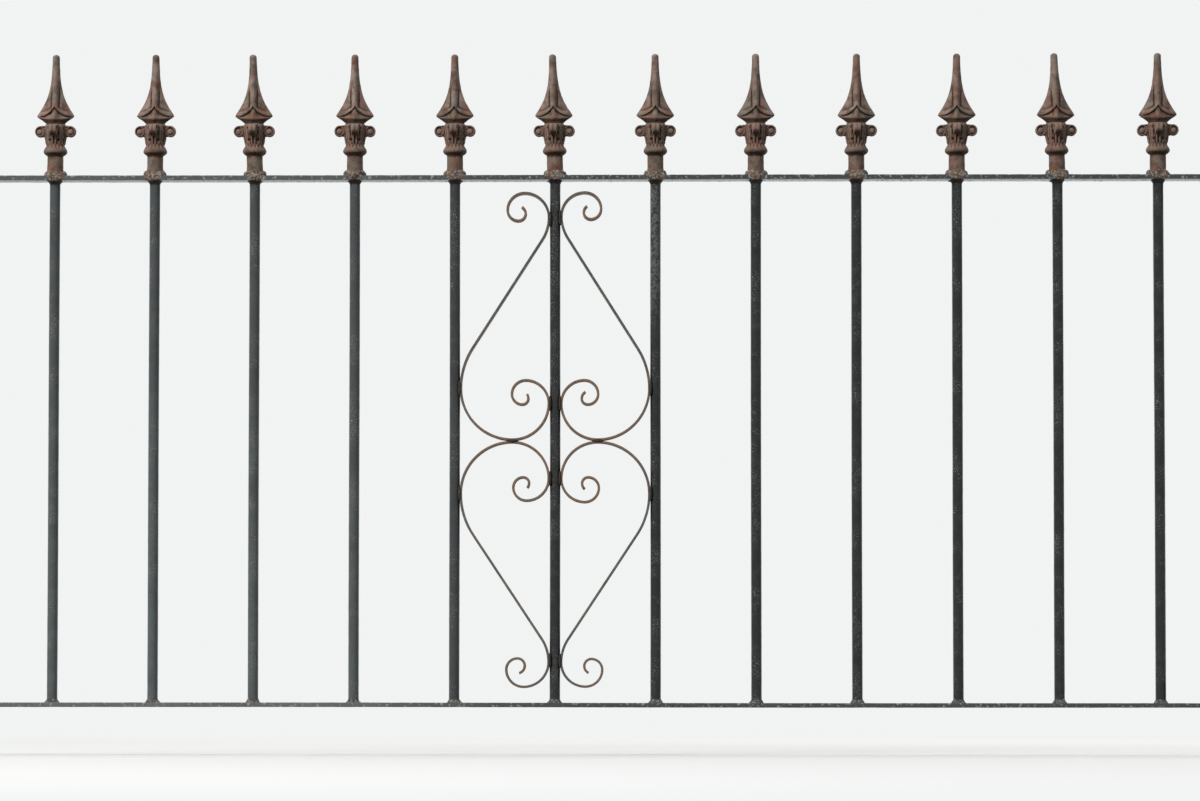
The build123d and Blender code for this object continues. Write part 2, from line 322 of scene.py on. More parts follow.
def chain(start, heading, steps, pitch=1.6):
    """Arcs one after another: each turns by `sweep` degrees (positive to the left) on its radius.

    A point on an arc is its centre plus the radius turned by the angle covered so far; the centre
    lies square to the heading. Returns the points and the heading at each of them, in radians.
    """
    points, headings, here, heading = [], [], np.array(start, float), math.radians(heading)
    for radius, sweep in steps:
        side = math.copysign(1, sweep)
        count = max(3, int(abs(math.radians(sweep)) * radius / pitch))
        angles = heading + math.radians(sweep) * np.linspace(0, 1, count)
        centre = here + radius * side * np.array([-math.sin(heading), math.cos(heading)])
        arc = centre + radius * side * np.stack([np.sin(angles), -np.cos(angles)], axis=-1)
        points.append(arc[:-1])
        headings.append(angles[:-1])
        here, heading = arc[-1], angles[-1]
    points.append(here[None])
    headings.append(np.array([heading]))
    return np.vstack(points), np.concatenate(headings)


def scroll_line(shoulder_up, curl, eye, curl_hook, eye_hook):
    """Outer curl reversed, shoulder, straight, belly and inner curl, in millimetres from the middle
    of the motif. The straight is the inside tangent of the shoulder circle and the flank circle."""
    shoulder = np.array([NEAR + SHOULDER_RADIUS, shoulder_up])
    flank = np.array([FAR - FLANK_RADIUS, STRIP_THICK / 2 + BELLY_RADIUS])
    across = flank - shoulder
    gap = np.hypot(*across)
    lean = math.degrees(math.atan2(across[1], across[0])) % 360 - 180
    lean -= math.degrees(math.acos((SHOULDER_RADIUS + FLANK_RADIUS) / gap))
    outer_curl = [(curl * r, -90) for r in CURL] + [(HOOK, -curl_hook)]
    inner_curl = [(eye * r, -90) for r in EYE] + [(HOOK, -eye_hook)]
    belly_start = (FAR, STRIP_THICK / 2 + BELLY_RADIUS)
    top, top_heading = chain((NEAR, shoulder_up), 90, outer_curl)
    down, down_heading = chain((NEAR, shoulder_up), -90, [(SHOULDER_RADIUS, lean)])
    foot, foot_heading = chain(belly_start, 90, [(FLANK_RADIUS, lean)])
    turns = [(BELLY_RADIUS, -90), (TURN_RADIUS, -90)] + inner_curl
    rest, rest_heading = chain(belly_start, -90, turns)
    share = np.linspace(0, 1, STRAIGHT_POINTS + 2)[1:-1, None]
    straight = down[-1] + share * (foot[-1] - down[-1])
    points = np.vstack([top[:0:-1], down, straight, foot[:0:-1], rest])
    headings = np.concatenate([
        top_heading[:0:-1] + math.pi,
        down_heading,
        np.full(STRAIGHT_POINTS, down_heading[-1]),
        foot_heading[:0:-1] + math.pi,
        rest_heading,
    ])
    return points, headings


line, headings = scroll_line(267, 1, 1, 55, 60)
line_length = np.hypot(*np.diff(line, axis=0).T).sum()
print("points on the line:", len(line), "length in mm:", round(float(line_length)))

# %% Carry the strip's section along the line
# side, up, height of the shoulder, size of outer and inner curl, hook of outer and inner curl
BENDS = {
    "scroll_upper_left": (-1, 1, 267.8, 1.04, 1.00, 60, 35),
    "scroll_upper_right": (1, 1, 269.5, 1.00, 1.00, 55, 60),
    "scroll_lower_left": (-1, -1, 263.7, 1.06, 0.96, 75, 40),
    "scroll_lower_right": (1, -1, 264.2, 1.03, 1.02, 65, 50),
}


def strip(side, up, shoulder_up, curl, eye, curl_hook, eye_hook, seed):
    """Each section point is the line's point plus its first coordinate along the line's normal and
    its second along Y; side and up mirror the whole strip."""
    points, headings = scroll_line(shoulder_up, curl, eye, curl_hook, eye_hook)
    section = flat_section(STRIP_THICK, STRIP_DEPTH, 0.6)
    normal = np.stack([-np.sin(headings), np.cos(headings)], axis=-1)
    flat = points[:, None] + section[:, :1] * normal[:, None]
    rings = xyz(MIDDLE_X + side * flat[..., 0], section[:, 1], MIDDLE_Z + up * flat[..., 1])
    rings = rings + 0.05 * wobble(rings, 8.0, seed)[..., None] * (1, 0.6, 1)
    along = np.linspace(0, 1, len(points))[:, None]
    rust = 0.25 + 0.6 * smooth(np.abs(along - 0.42), 0.22, 0.45) + 0.2 * wobble(rings, 25.0, seed)
    rust += 0.45 * hump(along, 0.69, 0.09)
    return shell(rings, crevice=np.clip(rust, 0, 1))


for seed, (name, bend) in enumerate(BENDS.items(), start=31):
    make_piece("paint", name, [strip(*bend, seed)])
print("strips done:", len(BENDS))

# %% [markdown]
# ## The spear head
# Seen from below, the two barbs end in one clean point each, so the head must be flattened: widest
# from side to side, and a diamond in section, with a rib up its front and back edges. At its lower
# end the rib parts into two lips, which swing down to the barbs like a moustache, with a gable
# tucked under them. The foot below the gable is lowest in the middle. One grid makes all of this if
# its rows follow the lips. A column is a place across the head, a row is a station on the way from
# the neck, out under the foot, up the gable, over the lip and up to the tip. So the sharp lip falls
# on a row of points, not between them.

# %% Outline, depth and lips of the spear head
SPIKE, BARB_HALF, BARB, APEX = 4.1, 22.4, 73.5, 84.3
RIB_HALF, NECK_RADIUS, NECK = 4.4, 10.9, 63.6
FOOT_HALF, FOOT_DEEP, FOOT = 21.6, 13.2, 66.3
HEAD_TOP, TIP_ROUND = 147.2, 3.6
BLADE_TOP = HEAD_TOP - TIP_ROUND


def flare(z):
    """Half width at a height: the spike's plus a falling exponential of the height over the barb."""
    up = np.maximum(z - BARB, 0)
    return SPIKE - 0.2 + (BARB_HALF - SPIKE + 0.2) * np.exp(-((up / 21.3) ** 1.18))


def lip_height(share):
    """Height of the lip, where share is the distance from the middle over the half width: it falls
    fast beside the apex, then levels out towards the barb."""
    return APEX - 12.3 * (1 - (1 - share) ** 2.6) + 0.5 * share**6


def blade(share, z):
    """Half width and half depth of the blade at each column, with its rib, bands and grooves.

    The depth is a superellipse of the share, nearly a diamond at the barbs and round at the spike.
    A groove runs 4.4 mm from the middle or 7 mm above the lips, whichever is nearer. What it leaves
    standing is the rib and the bands along the lips."""
    width = flare(z)
    depth = SPIKE + (width - SPIKE) * 0.487
    power = 1.08 + 0.95 * smooth(z, 96, 134)
    across = share * width
    near = np.minimum(across, (z - lip_height(share)) * 0.62 + 0.2)
    strength = np.clip((width - RIB_HALF) / 4.5, 0, 1) * (1 - share**5)
    face = depth * np.clip(1 - share**power, 0, 1) ** (1 / power)
    face = face - strength * (1.75 * hump(near, RIB_HALF, 1.5) + 0.75 * smooth(near, 3.6, 6.5))
    face = face - 0.7 * np.clip(1 - (z - lip_height(share)) / 1.2, 0, 1) ** 2 * strength
    rib = depth + 0.5 * np.clip((width - RIB_HALF) / 2, 0, 1) - 0.55 * (across / 1.8) ** 2.4
    return across, np.maximum(np.maximum(face, rib), 0), near, strength


# %% Spear head as a grid of columns and stations


def spear(seed):
    """Stations for one quarter of the columns, mirrored to the full ring, then roughened.

    Each station lies between two curves, A + (B - A) s: neck to foot, foot to gable. The blade's
    stations crowd together above the lips, at 0.3 s + 0.7 s^1.9 of the way to the tip."""
    step = np.linspace(0, 1, 27)
    share = 0.35 * step + 0.65 * np.sin(step * np.pi / 2) ** 2
    lip = lip_height(share)
    rows, dark = [], []

    def station(x, y, z, mark):
        rows.append(xyz(x, y, z))
        dark.append(mark + 0 * share)

    angle = np.arctan2(FOOT_DEEP * (1 - share), 20.9 * share)
    foot_x, foot_y = FOOT_HALF * share, FOOT_DEEP * (1 - share**1.04)
    foot_z = FOOT + 4.9 * share**1.25
    neck_x, neck_y = NECK_RADIUS * np.cos(angle), NECK_RADIUS * np.sin(angle)
    lip_x, lip_y, _, _ = blade(share, lip)
    tuck = 1 - share**3
    gable_x, gable_y = lip_x - 0.5 * share, np.maximum(lip_y - 1.9 * tuck, 0)
    gable_z = lip - 1.0 * tuck - 0.25
    # the last number of each station is its dark mark, painted shade: at the neck, under the foot, under the
    # lips and in the grooves beside the rib
    station(0.7 * neck_x, 0.7 * neck_y, NECK - 1.2, 1.0)
    station(neck_x, neck_y, NECK - 0.8, 1.0)
    for s in np.linspace(0, 1, 9)[:-1]:
        pull = 1 - 0.05 * np.sin(np.pi * s)
        x = (neck_x + (foot_x - neck_x) * s) * pull
        y = (neck_y + (foot_y - neck_y) * s) * pull
        station(x, y, NECK + (foot_z - NECK) * s, 1.0 - 0.35 * s)
    for s in np.linspace(0, 1, 14):
        lean = s + 0.05 * np.sin(np.pi * s)
        x, y = foot_x + (gable_x - foot_x) * lean, foot_y + (gable_y - foot_y) * lean
        z = foot_z + 0.5 + (gable_z - foot_z - 0.5) * s
        # painted shadow under the lips and painted shade along the foot
        shadow_under_lip, shade_at_foot = 0.9 * s**5, 0.75 * np.clip(1 - s / 0.24, 0, 1)
        station(x, y, z, 0.05 + (shadow_under_lip + shade_at_foot) * tuck)
    station(lip_x - 0.3 * share, np.maximum(lip_y - 1.3 * tuck, 0), lip - 0.45, 1.0 * tuck)
    station(lip_x - 0.1 * share, np.maximum(lip_y - 0.4 * tuck, 0), lip - 0.2, 0.5 * tuck)
    for s in np.linspace(0, 1, 70):
        z = lip + (BLADE_TOP - lip) * (0.3 * s + 0.7 * s**1.9)
        x, y, near, strength = blade(share, z)
        station(x, y, z, 0.3 * hump(near, 4.6, 1.5) * strength)
    x, y, _, _ = blade(share, np.full_like(share, BLADE_TOP))
    for s in np.linspace(0, 1, 9)[1:]:
        shrink = max(math.cos(s * math.pi / 2), 0.03)
        station(x * shrink, y * shrink, BLADE_TOP + TIP_ROUND * math.sin(s * math.pi / 2), 0.0)
    quarter, dark = np.array(rows), np.array(dark)
    there, back = slice(0, 26), slice(26, 0, -1)
    flips = ((1, -1, there), (1, 1, back), (-1, 1, there), (-1, -1, back))
    rings = np.concatenate([quarter[:, cut] * (sx, sy, 1) for sx, sy, cut in flips], axis=1)
    marks = np.concatenate([dark[:, cut] for _, _, cut in flips], axis=1)
    return roughen(rings, 0.12, 7.0, seed), marks


rings, _ = spear(1)
half_sizes = np.abs(rings[..., :2]).max(axis=(0, 1))
print("spear head grid:", rings.shape[:2], "half width and depth:", np.round(half_sizes, 1))

# %% [markdown]
# ## Socket, collar and leafy bell
# Under the spear sits a plain socket, then a collar, and a bell clothed in leaves. It is round, so
# the grid is angle by height and the shape is its radius: a turned profile, plus ribs, pockets and
# leaf edges that repeat four times round. The same pockets feed the crevice mark, which later
# collects painted shade and the rust. Painted shade is also marked in the seams, at the joint under
# the collar, under the collar, under the spear and under each roll.

# %% Radius of the bell as a function of angle and height
PROFILE = np.array([
    (0.0, 10.5), (3.0, 10.2), (7.0, 9.8), (12.0, 9.6), (24.6, 9.5), (25.1, 10.0), (25.7, 10.9),
    (26.6, 12.1), (27.6, 13.2), (28.8, 14.0), (30.0, 14.25), (31.2, 14.1), (32.4, 13.5), (33.6, 12.7),
    (34.8, 11.8), (36.0, 11.1), (37.6, 10.7), (40.0, 10.8), (43.3, 11.4), (46.0, 12.0), (52.0, 12.5),
    (58.0, 12.7), (61.6, 12.6), (62.8, 11.8), (63.6, 10.8), (64.6, 8.0),
])


def bell(seed):
    """Radius: the turned profile plus ribs and leaf edges less pockets, all in millimetres.

    Twin stems run up the middle of each face at an arc distance of 1.9 mm, a leaf swells beside
    each corner, and pockets sink between them. The flutes run out over the collar."""
    socket, collar, leaves = np.linspace(0, 24.6, 12), np.linspace(24.9, 37.5, 38), np.linspace(38, 64.6, 54)
    z = np.concatenate([socket, collar, leaves])[:, None]
    angle = full_turn(144)
    radius = np.interp(z, PROFILE[:, 0], PROFILE[:, 1]) + 0 * angle
    from_face = (angle + np.pi / 4) % (np.pi / 2) - np.pi / 4
    arc = np.abs(from_face) * radius
    from_corner = np.abs(np.abs(from_face) - np.pi / 4) * radius
    leafy = smooth(z, 36.8, 40.0) * (1 - smooth(z, 60.0, 62.5))
    stems = 1.15 * hump(arc, 1.9, 0.95) * (1 - smooth(z, 49, 54))
    seams = 0.9 * hump(arc, 0, 0.7) + 0.9 * hump(arc, 3.7, 0.6) * (1 - smooth(z, 47, 52))
    edges = 0.9 * hump(from_corner, 1.3, 1.6) - 0.7 * hump(from_corner, 3.9, 0.7) * smooth(z, 42, 48)
    pockets = 2.4 * hump(arc, 5.6, 1.15) * hump(z, 43.4, 1.5)
    pockets += 1.6 * hump(arc, 5.4, 1.0) * hump(z, 51.5, 2.2)
    pockets += 1.0 * hump(arc, 7.6, 0.8) * hump(z, 57.4, 1.6)
    radius = radius + leafy * (stems - seams + edges) - pockets
    radius += 0.4 * smooth(z, 31.5, 33.5) * (1 - smooth(z, 36.0, 38.5)) * np.cos(16 * angle)
    rings = roughen(xyz(radius * np.cos(angle), radius * np.sin(angle), z), 0.17, 6.0, seed)
    # dark is painted shade: in the pockets and seams, at the joint under the collar, under the collar, under
    # the spear and under each roll
    dark = pockets / 1.6 + 0.35 * leafy * seams + 0.8 * hump(z, 24.9, 0.6)
    dark = dark + 0.9 * smooth(29.2 - z, 0, 2.8) * (z > 24.8) + 0.9 * smooth(z, 61.8, 63.0)
    dark = dark + 0.6 * hump(arc, 0, 4.6) * hump(z, 50.5, 3.6)
    return rings, np.clip(dark + 0 * angle, 0, 1)


rings, _ = bell(2)
collar_radius = np.hypot(rings[:42, :, 0], rings[:42, :, 1]).max()
print("bell grid:", rings.shape[:2], "collar radius:", round(float(collar_radius), 2))

# %% [markdown]
# ## Volutes
# At the top of the bell four leaves roll over outwards and end in a ball. From the front, two of them
# show as thick rings with an eye, and the third as a knuckle. Each is a strip that comes off the top
# of the bell and follows a spiral, down and round while its radius shrinks. A flat disc closes the
# ring from inside, as the sand mould did, a web fills the corner between ring and bell, and a
# squashed ball is the eye.

# %% One volute, turned to the four sides
SPIRAL_POINTS, SPIRAL_CENTRE = 54, np.array([18.05, 54.2])


def turned_ball(centre, radius, half_width, blunt):
    """Rings about the Y axis through the centre: a ball whose profile is a superellipse."""
    rise, around = np.linspace(-1, 1, 15)[:, None] * np.pi / 2, full_turn(28)
    out = radius * np.maximum(np.cos(rise), 0.02) ** blunt
    x, z = centre[0] + out * np.cos(around), centre[1] + out * np.sin(around)
    return xyz(x, half_width * np.sin(rise), z)


def volute(quarter, seed):
    """The line bends off the top of the bell on a curve of three points, (1-t)^2 A + 2t(1-t) B +
    t^2 C, then follows a spiral whose radius falls evenly with its angle. The section is an oval
    with a shallow dent along its outer side."""
    turned = np.radians(np.linspace(106, -250, SPIRAL_POINTS))
    radius = np.linspace(5.8, 5.0, SPIRAL_POINTS)
    circle = np.stack([np.cos(turned), 1.03 * np.sin(turned)], axis=-1)
    spiral = SPIRAL_CENTRE + radius[:, None] * circle
    t = np.linspace(0, 1, 14)[:, None]
    root, over = np.array([8.4, 58.2]), np.array([12.8, 61.4])
    rise = (1 - t) ** 2 * root + 2 * t * (1 - t) * over + t**2 * spiral[0]
    line = np.vstack([rise[:-1], spiral])
    step = np.gradient(line, axis=0)
    step /= np.linalg.norm(step, axis=1, keepdims=True)
    normal = np.stack([-step[:, 1], step[:, 0]], axis=-1)
    along, around = np.linspace(0, 1, len(line))[:, None], full_turn(28)
    across = np.sign(np.cos(around)) * np.abs(np.cos(around)) ** 0.8
    wide = (3.2 + 1.2 * smooth(along, 0.0, 0.25)) * across
    thick = (1.3 - 0.3 * along) * np.sin(around)
    outer = np.sin(around) > 0
    thick = thick - outer * 0.4 * hump(wide, 0, 0.9) * smooth(along, 0.05, 0.2) * np.sin(around)
    out = line[:, :1] + thick * normal[:, :1]
    up = line[:, 1:] + thick * normal[:, 1:]
    # painted shade: a little in the dent, more on the low side of the roll
    dent_shade, shade_under_roll = 0.15 * outer * hump(wide, 0, 0.7), 0.8 * smooth(55 - up, 0, 6)
    roll_shade = dent_shade + shade_under_roll * (np.abs(wide) < 3.4)
    disc = turned_ball(SPIRAL_CENTRE, 5.4, 3.0, 0.25)
    web = turned_ball((12.8, 53.8), 6.3, 3.3, 0.3)
    eye = turned_ball(SPIRAL_CENTRE + (0.45, -0.55), 4.15, 4.6, 0.75)
    grids = []
    # the disc inside the ring is marked fully dark and the web in the corner partly, as painted shade
    for grid, mark in ((xyz(out, wide, up), roll_shade), (disc, 1.0), (web, 0.3), (eye, 0.0)):
        grid = roughen(grid, 0.1, 4.0, seed + quarter)
        x, y = swivel(grid[..., 0], grid[..., 1], quarter * math.pi / 2)
        grids.append((xyz(x, y, grid[..., 2]), np.clip(mark + 0 * x, 0, 1)))
    return grids


print("volute grids:", [g.shape[:2] for g, _ in volute(0, 3)])

# %% Thirteen castings, each a little out of true
# degrees, where the photo shows a head out of true; the others get a little at random
LEAN = {3: 0.2, 4: -1.1, 7: -1.35, 11: 0.15, 12: -1.4}


def casting(number, x):
    """All shells of one head, turned a few degrees about its axis, leaned, and set on the rail. Its
    relief of 0.9 mm on the spear, or 0.4 mm elsewhere, counts as a full hollow or ridge."""
    rng = np.random.default_rng(400 + number)
    grids = [bell(40 + number), spear(70 + number)]
    for quarter in range(4):
        grids += volute(quarter, 90 + number)
    twist = math.radians(rng.uniform(-4, 4))
    lean = math.radians(LEAN.get(number, rng.uniform(-0.3, 0.3)))
    tip = math.radians(rng.uniform(-0.3, 0.3))
    shells = []
    for order, (grid, mark) in enumerate(grids):
        up = grid[..., 2]
        right, back = swivel(grid[..., 0], grid[..., 1], twist)
        right, back = x + right + up * math.sin(lean), back + up * math.sin(tip)
        placed = xyz(right, back, HEAD_FOOT + up * math.cos(lean))
        # a hollow adds to the crevice mark, which the iron shows as rust and as near-black painted shade; a
        # ridge gives the crown mark
        hollow = relief(placed) / (0.9 if order == 1 else 0.4)
        deep = np.clip(mark + np.maximum(hollow, 0), 0, 1)
        shells.append(shell(placed, crevice=deep, crown=np.clip(-hollow, 0, 1)))
    return shells


for number, x in enumerate(bar_x, start=1):
    make_piece("casting", f"finial_{number:02d}", casting(number, x))
print("castings:", len(pieces["casting"]), "faces each:", len(pieces["casting"][0].data.polygons))

# %% [markdown]
# ## Welds
# Stick welding leaves lumps. A weld round a bar is a tube whose line is a circle and whose section
# is an oval that swells and shrinks, like coins pushed over. A bead beside a strip is a stretched
# ball with the same unevenness. Between the spear's socket and the rail the weld spills over the
# rail's front edge, so a flat lump hangs there.

# %% Weld shapes


def weld_ring(x, z, reach, reach_deep, wide, tall, seed):
    """A closed tube round the bar: its section is an oval whose size follows a ripple of coins."""
    rng = np.random.default_rng(seed)
    around, section = full_turn(64)[:, None], full_turn(14)
    coins = 0.12 * np.sin(11 * around + rng.uniform(0, 6))
    swell = 1 + coins + 0.16 * np.sin(3 * around + rng.uniform(0, 6))
    out, up = wide * swell * np.cos(section), tall * swell * np.sin(section)
    rings = xyz(x + (reach + out) * np.cos(around), (reach_deep + out) * np.sin(around), z + up)
    return rings + 0.45 * wobble(rings, 3.6, seed)[..., None] * (0.7, 0.5, 1.0)


def weld_lump(centre, half, seed):
    """A ball stretched to its three half sizes and roughened, its rings running along its length."""
    rise, around = np.linspace(-1, 1, 17)[:, None] * np.pi / 2, full_turn(20)
    shrink = np.maximum(np.cos(rise), 0.03) ** 0.7
    points = centre + xyz(shrink * np.cos(around), shrink * np.sin(around), np.sin(rise)) * half
    return points + 0.12 * min(half) * wobble(points, 3.0, seed)[..., None]


def weld_skirt(x, z, up, seed):
    """A funnel round a bar: its radius falls from 9.2 mm at the rail to the bar's own in 6 mm, on a
    hollow curve, with lumps that follow the wobble."""
    share = np.concatenate([[-0.25], np.linspace(0, 1, 16)])[:, None]
    cos, sin = np.cos(full_turn(48)), np.sin(full_turn(48))
    radius = 5.9 + 3.3 * np.clip(1 - share, 0, 1) ** 1.7
    rings = xyz(x + radius * cos, radius * sin, z + up * 6.2 * share)
    lumps = 0.55 * (1 - 0.7 * np.clip(share, 0, 1)) * wobble(rings, 4.0, seed)
    return rings + lumps[..., None] * xyz(cos, sin, 0.5)


print("weld skirt grid:", weld_skirt(0, 0, 1, 1).shape[:2])

# %% Welds round the sockets and the bars
SOCKET_WELD_UP, EDGE_WELD_OUT = 2.2, 11.2
sockets, heads, feet = [], [], []
for number, x in enumerate(bar_x, start=1):
    seed = 200 + 10 * number
    rng = np.random.default_rng(seed)
    ring = weld_ring(x, HEAD_FOOT + SOCKET_WELD_UP, 10.6, 8.9, 3.0, 4.0, seed)
    sockets.append(shell(ring, closed_loop=True))
    for y in (-EDGE_WELD_OUT, EDGE_WELD_OUT):
        place = (x + rng.uniform(-1.5, 1.5), y, HEAD_FOOT - 1.6 + rng.uniform(-0.6, 0.6))
        size = (11.5 + rng.uniform(-1, 1.5), 2.3, 4.2 + rng.uniform(-0.3, 0.6))
        sockets.append(shell(weld_lump(place, size, seed + 1)))
    head = weld_skirt(x, RAIL_UP - RAIL_THICK / 2, -1, seed + 2)
    # the funnels under the top rail get a crevice mark of 0.9: painted shade under the rail
    heads.append(shell(head, crevice=np.full(head.shape[:2], 0.9)))
    feet.append(shell(weld_skirt(x, BAR_FOOT, 1, seed + 3)))
for name, shells in (("finial_welds", sockets), ("bar_head_welds", heads), ("bar_foot_welds", feet)):
    make_piece("weld", name, shells)
print("welds at sockets, heads and feet:", len(sockets), len(heads), len(feet))

# %% Beads at the scrolls and at the end plates
beads = []
for side in (-1, 1):
    for up in (-1, 1):
        shoulder_up = next(bend[2] for bend in BENDS.values() if bend[:2] == (side, up))
        touches = (
            (BAR_RADIUS, shoulder_up - 2),
            (BAR_RADIUS, STRIP_THICK / 2 + TURN_RADIUS),
            (SPACING - BAR_RADIUS, STRIP_THICK / 2 + BELLY_RADIUS),
        )
        for x, z in touches:
            for y in (-5.6, 5.6):
                place = (MIDDLE_X + side * x, y, MIDDLE_Z + up * z)
                beads.append(shell(weld_lump(place, (1.7, 2.2, 8.5), 500 + len(beads))))
    for y in (-6.0, 6.0):
        place = (MIDDLE_X + side * (FAR - BELLY_RADIUS), y, MIDDLE_Z)
        beads.append(shell(weld_lump(place, (7.0, 1.6, 1.9), 500 + len(beads))))
make_piece("weld", "scroll_welds", beads)

fillets = []
for x in (PLATE_THICK + 0.9, PANEL - PLATE_THICK - 0.9):
    for rail_z in (0.0, RAIL_UP):
        for up in (-1, 1):
            place = (x, 0.0, rail_z + up * (RAIL_THICK / 2 + 0.8))
            lump = weld_lump((0, 0, 0), (2.4, 2.4, 11.6), 600 + len(fillets))
            fillets.append(shell(lump[..., [0, 2, 1]] + place))
make_piece("weld", "plate_welds", fillets)
print("beads:", len(beads), "fillets:", len(fillets))

# %% [markdown]
# ## End plates
# A plate is a flat with rounded corners and two bolt holes. A flat curve says that best: one closed
# outline and two circles inside it, given a thickness and a small bevel. It is made a mesh and laid
# across the rail's end before it joins the panel, so that its place is in its points.

# %% Four drilled plates
PLATE_BEVEL = 0.4
SIDES = {"left": PLATE_THICK / 2, "right": PANEL - PLATE_THICK / 2}
LEVELS = {"lower": 0.0, "upper": RAIL_UP}


def plate_curve():
    """A rounded rectangle 40 by 60 mm and circles of 4.5 mm radius at 20 mm up and down."""
    curve = bpy.data.curves.new("plate_outline", "CURVE")
    curve.dimensions = "2D"
    curve.fill_mode = "BOTH"
    hole = 4.5 * np.stack([np.cos(full_turn(32)), np.sin(full_turn(32))], axis=-1)
    for outline in (flat_section(40, 60, 4.0, 7), hole + (0, 20), hole - (0, 20)):
        spline = curve.splines.new("POLY")
        spline.points.add(len(outline) - 1)
        depth_and_weight = np.tile((0.0, 1.0), (len(outline), 1))
        spline.points.foreach_set("co", np.hstack([outline, depth_and_weight]).ravel())
        spline.use_cyclic_u = True
    curve.offset = -PLATE_BEVEL
    curve.extrude = PLATE_THICK / 2 - PLATE_BEVEL
    curve.bevel_depth = PLATE_BEVEL
    curve.bevel_resolution = 2
    return curve


outline = into_scene("plate_outline", plate_curve())
bpy.context.view_layer.update()
flat = bpy.data.meshes.new_from_object(outline.evaluated_get(bpy.context.evaluated_depsgraph_get()))
flat_points = np.zeros(len(flat.vertices) * 3)
flat.vertices.foreach_get("co", flat_points)
flat_points = flat_points.reshape(-1, 3)
for level, z in LEVELS.items():
    for side, x in SIDES.items():
        mesh = flat.copy()
        placed = xyz(x + flat_points[:, 2], flat_points[:, 0], z + flat_points[:, 1])
        mesh.vertices.foreach_set("co", (placed * 0.001).ravel())
        mesh.update()
        add_piece("paint", f"fixing_plate_{level}_{side}", mesh)
bpy.data.objects.remove(outline)
print("plates done; faces each:", len(flat.polygons))

# %% [markdown]
# ## Building materials from small parts
# Paint, casting and weld share a few effects: soft patches, fine specks and a pitted skin. Each is a
# node group with named inputs, made once. A group gives only a mask or a normal. The colours and the
# shader stay in the material. Short helpers keep the wiring readable.

# %% Node helpers
VALUE, VECTOR = "NodeSocketFloat", "NodeSocketVector"


def put(tree, kind, *inputs, **settings):
    """Adds a node; each input is a value or another node's socket, in socket order (None skips)."""
    node = tree.nodes.new(kind)
    for key, value in settings.items():
        setattr(node, key, value)
    for socket, value in zip(node.inputs, inputs):
        if value is None:
            continue
        if isinstance(value, bpy.types.NodeSocket):
            tree.links.new(value, socket)
        else:
            socket.default_value = value
    return node


def calc(tree, operation, a, b=0.0):
    """A Math node's result."""
    return put(tree, "ShaderNodeMath", a, b, operation=operation).outputs[0]


def times(tree, a, b):
    """The product of two values."""
    return calc(tree, "MULTIPLY", a, b)


def ramp(tree, value, low, high, start=0.0, end=1.0):
    """Value mapped smoothly from low..high to start..end."""
    span = (value, low, high, start, end)
    return put(tree, "ShaderNodeMapRange", *span, interpolation_type="SMOOTHSTEP").outputs[0]


def tint(tree, factor, a, b, strength=None):
    """Colour a where the factor is 0, colour b where it is 1; strength weakens the factor. A Mix
    node takes its two colours after the inputs 0 to 5, of which only the factor is used."""
    factor = factor if strength is None else times(tree, factor, strength)
    a, b = (c if isinstance(c, bpy.types.NodeSocket) else (*c, 1.0) for c in (a, b))
    return put(tree, "ShaderNodeMix", factor, *[None] * 5, a, b, data_type="RGBA").outputs[2]


def new_group(name, numbers, outputs):
    """An empty node group: coordinates and numbers (name: default) go in, outputs (name: kind) come
    out."""
    group = bpy.data.node_groups.new(name, "ShaderNodeTree")
    group.interface.new_socket("Vector", in_out="INPUT", socket_type=VECTOR)
    for label, default in numbers.items():
        group.interface.new_socket(label, in_out="INPUT", socket_type=VALUE).default_value = default
    for label, kind in outputs.items():
        group.interface.new_socket(label, in_out="OUTPUT", socket_type=kind)
    return group, group.nodes.new("NodeGroupInput").outputs, group.nodes.new("NodeGroupOutput").inputs


print("kinds of sockets:", VALUE, VECTOR)


# %% Patches, specks and a pitted skin as node groups
patch_numbers = {"Per Metre": 60.0, "Seed": 0.0, "Cover": 0.5, "Softness": 0.12}
patches, given, result = new_group("weather_patches", patch_numbers, {"Mask": VALUE})
noise = put(
    patches, "ShaderNodeTexNoise", given["Vector"], given["Seed"], given["Per Metre"], 5.0, 0.6,
    noise_dimensions="4D")
level = calc(patches, "SUBTRACT", 0.72, times(patches, given["Cover"], 0.44))
low = calc(patches, "SUBTRACT", level, given["Softness"])
high = calc(patches, "ADD", level, given["Softness"])
patches.links.new(ramp(patches, noise.outputs["Fac"], low, high), result["Mask"])

skin_numbers = {"Per Metre": 700.0, "Depth": 0.0001, "Lumps": 0.5}
skin, given, result = new_group("pitted_skin", skin_numbers, {"Normal": VECTOR, "Pits": VALUE})
fine = put(skin, "ShaderNodeTexNoise", given["Vector"], None, given["Per Metre"], 4.0, 0.65)
coarse_size = times(skin, given["Per Metre"], 0.22)
coarse = put(skin, "ShaderNodeTexNoise", given["Vector"], None, coarse_size, 3.0, 0.5)
pits = ramp(skin, fine.outputs["Fac"], 0.38, 0.56)
lumps = times(skin, coarse.outputs["Fac"], given["Lumps"])
bump = skin.nodes.new("ShaderNodeBump")
skin.links.new(calc(skin, "ADD", times(skin, pits, 0.6), lumps), bump.inputs["Height"])
skin.links.new(given["Depth"], bump.inputs["Distance"])
skin.links.new(bump.outputs["Normal"], result["Normal"])
skin.links.new(pits, result["Pits"])
print("groups:", [g.name for g in bpy.data.node_groups])

# %% Place a group in a material


def new_material(name):
    """A material with its Principled shader and the object's own coordinates."""
    material = bpy.data.materials.new(name)
    material.use_nodes = True
    tree = material.node_tree
    shader = tree.nodes["Principled BSDF"]
    where = tree.nodes.new("ShaderNodeTexCoord").outputs["Object"]
    return material, tree, shader, where


